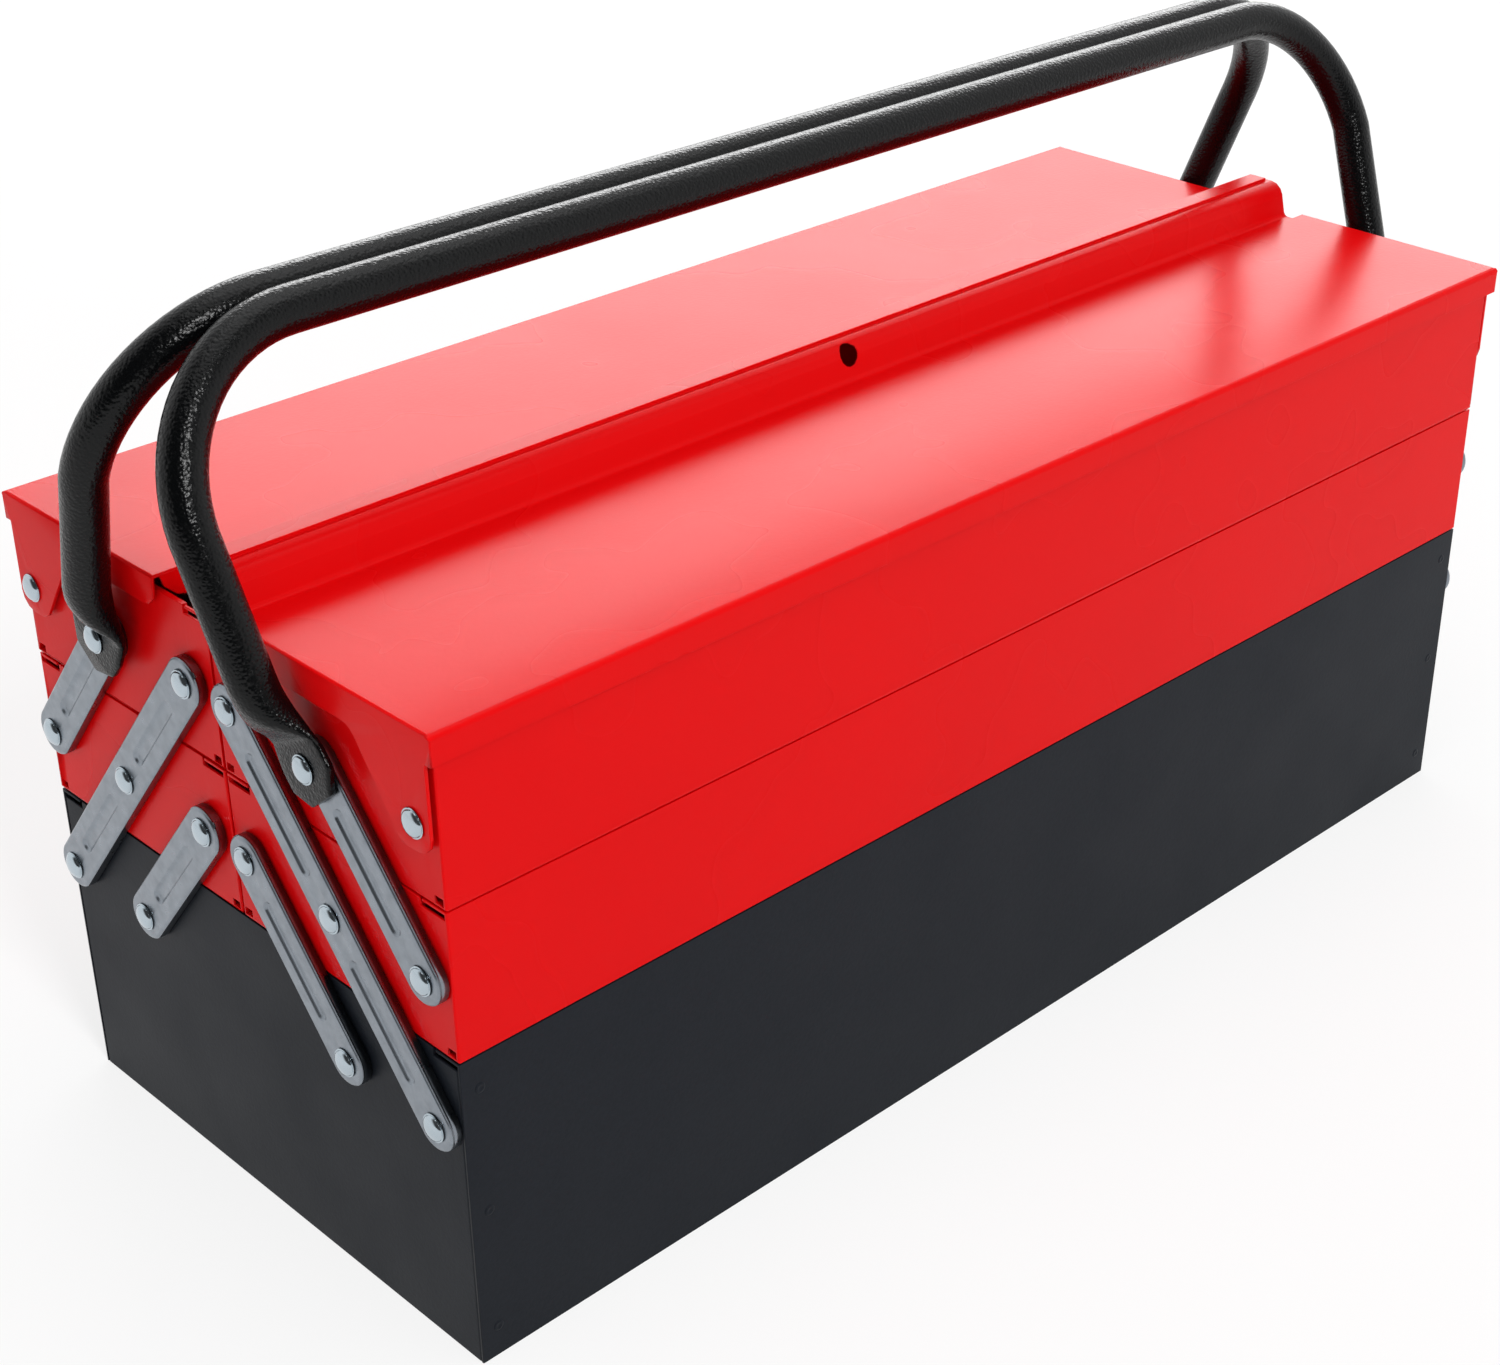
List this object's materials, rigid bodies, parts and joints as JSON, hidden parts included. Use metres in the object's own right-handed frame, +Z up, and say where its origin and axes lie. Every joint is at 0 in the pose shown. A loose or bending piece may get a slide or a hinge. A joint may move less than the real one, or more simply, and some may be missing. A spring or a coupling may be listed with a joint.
{
  "type": "cantilever toolbox",
  "caption": "Steel cantilever toolbox: an open base, pairs of stacked trays that swing apart on riveted links, a lid over each upper tray, and twin tube carrying handles.",
  "frame": {"origin": "middle of the underside of the base, at the level it stands on", "axes": "+X along the length, +Y from the front half to the rear half, +Z up"},
  "size_m": [0.5798, 0.2312, 0.327],
  "materials": {
    "red_sheet": "semi-gloss red powder coat with a faint orange peel",
    "base_sheet": "satin charcoal powder coat",
    "handle_tube": "fine-textured glossy black powder coat",
    "link_zinc": "satin zinc plating",
    "rivet_steel": "polished bright-plated steel"
  },
  "bodies": {
    "base": {"base_shell": "base_sheet", "base_end_left": "base_sheet", "base_end_right": "base_sheet", "front_long_link_base_rivet_left": "rivet_steel", "front_long_link_base_rivet_right": "rivet_steel", "front_lower_link_base_rivet_left": "rivet_steel", "front_lower_link_base_rivet_right": "rivet_steel", "rear_long_link_base_rivet_left": "rivet_steel", "rear_long_link_base_rivet_right": "rivet_steel", "rear_lower_link_base_rivet_left": "rivet_steel", "rear_lower_link_base_rivet_right": "rivet_steel"},
    "front_long_links": {"front_long_link_left": "link_zinc", "front_long_link_right": "link_zinc"},
    "front_lower_links": {"front_lower_link_left": "link_zinc", "front_lower_link_right": "link_zinc"},
    "front_lower_tray": {"front_lower_tray": "red_sheet", "front_long_link_lower_tray_rivet_left": "rivet_steel", "front_long_link_lower_tray_rivet_right": "rivet_steel", "front_lower_link_tray_rivet_left": "rivet_steel", "front_lower_link_tray_rivet_right": "rivet_steel", "front_handle_link_tray_rivet_left": "rivet_steel", "front_handle_link_tray_rivet_right": "rivet_steel"},
    "front_upper_tray": {"front_upper_tray": "red_sheet", "front_long_link_upper_tray_rivet_left": "rivet_steel", "front_long_link_upper_tray_rivet_right": "rivet_steel", "front_handle_rivet_left": "rivet_steel", "front_handle_rivet_right": "rivet_steel", "front_lid_rivet_left": "rivet_steel", "front_lid_rivet_right": "rivet_steel"},
    "front_handle": {"front_handle": "handle_tube", "front_handle_link_left": "link_zinc", "front_handle_link_right": "link_zinc"},
    "front_lid": {"front_lid": "red_sheet"},
    "rear_long_links": {"rear_long_link_left": "link_zinc", "rear_long_link_right": "link_zinc"},
    "rear_lower_links": {"rear_lower_link_left": "link_zinc", "rear_lower_link_right": "link_zinc"},
    "rear_lower_tray": {"rear_lower_tray": "red_sheet", "rear_long_link_lower_tray_rivet_left": "rivet_steel", "rear_long_link_lower_tray_rivet_right": "rivet_steel", "rear_lower_link_tray_rivet_left": "rivet_steel", "rear_lower_link_tray_rivet_right": "rivet_steel", "rear_handle_link_tray_rivet_left": "rivet_steel", "rear_handle_link_tray_rivet_right": "rivet_steel"},
    "rear_upper_tray": {"rear_upper_tray": "red_sheet", "rear_long_link_upper_tray_rivet_left": "rivet_steel", "rear_long_link_upper_tray_rivet_right": "rivet_steel", "rear_handle_rivet_left": "rivet_steel", "rear_handle_rivet_right": "rivet_steel", "rear_lid_rivet_left": "rivet_steel", "rear_lid_rivet_right": "rivet_steel"},
    "rear_handle": {"rear_handle": "handle_tube", "rear_handle_link_left": "link_zinc", "rear_handle_link_right": "link_zinc"},
    "rear_lid": {"rear_lid": "red_sheet"}
  },
  "joints": [
    {"name": "front_swing", "type": "hinge", "parent": "base", "child": "front_long_links", "pos_m": [0, -0.1037, 0.0929], "axis": [1, 0, 0], "range_deg": [0, 80]},
    {"name": "front_lower_link_swing", "type": "hinge", "parent": "base", "child": "front_lower_links", "pos_m": [0, -0.0579, 0.0929], "axis": [1, 0, 0], "range_deg": [0, 80]},
    {"name": "front_lower_tray_level", "type": "hinge", "parent": "front_long_links", "child": "front_lower_tray", "pos_m": [0, -0.0579, 0.1473], "axis": [1, 0, 0], "range_deg": [-80, 0]},
    {"name": "front_upper_tray_level", "type": "hinge", "parent": "front_long_links", "child": "front_upper_tray", "pos_m": [0, -0.0121, 0.2017], "axis": [1, 0, 0], "range_deg": [-80, 0]},
    {"name": "front_handle_swing", "type": "hinge", "parent": "front_upper_tray", "child": "front_handle", "pos_m": [0, -0.0579, 0.2017], "axis": [1, 0, 0], "range_deg": [0, 80]},
    {"name": "front_lid_hinge", "type": "hinge", "parent": "front_upper_tray", "child": "front_lid", "pos_m": [0, -0.1046, 0.2017], "axis": [1, 0, 0], "range_deg": [0, 90]},
    {"name": "rear_swing", "type": "hinge", "parent": "base", "child": "rear_long_links", "pos_m": [0, 0.1037, 0.0929], "axis": [-1, 0, 0], "range_deg": [0, 80]},
    {"name": "rear_lower_link_swing", "type": "hinge", "parent": "base", "child": "rear_lower_links", "pos_m": [0, 0.0579, 0.0929], "axis": [-1, 0, 0], "range_deg": [0, 80]},
    {"name": "rear_lower_tray_level", "type": "hinge", "parent": "rear_long_links", "child": "rear_lower_tray", "pos_m": [0, 0.0579, 0.1473], "axis": [-1, 0, 0], "range_deg": [-80, 0]},
    {"name": "rear_upper_tray_level", "type": "hinge", "parent": "rear_long_links", "child": "rear_upper_tray", "pos_m": [0, 0.0121, 0.2017], "axis": [-1, 0, 0], "range_deg": [-80, 0]},
    {"name": "rear_handle_swing", "type": "hinge", "parent": "rear_upper_tray", "child": "rear_handle", "pos_m": [0, 0.0579, 0.2017], "axis": [-1, 0, 0], "range_deg": [0, 80]},
    {"name": "rear_lid_hinge", "type": "hinge", "parent": "rear_upper_tray", "child": "rear_lid", "pos_m": [0, 0.1046, 0.2017], "axis": [-1, 0, 0], "range_deg": [0, 90]}
  ],
  "couplings": [
    {"joint": "front_lower_link_swing", "follows": "front_swing", "ratio": 1},
    {"joint": "front_lower_tray_level", "follows": "front_swing", "ratio": -1},
    {"joint": "front_upper_tray_level", "follows": "front_swing", "ratio": -1},
    {"joint": "front_handle_swing", "follows": "front_swing", "ratio": 1},
    {"joint": "rear_lower_link_swing", "follows": "rear_swing", "ratio": 1},
    {"joint": "rear_lower_tray_level", "follows": "rear_swing", "ratio": -1},
    {"joint": "rear_upper_tray_level", "follows": "rear_swing", "ratio": -1},
    {"joint": "rear_handle_swing", "follows": "rear_swing", "ratio": 1}
  ]
}
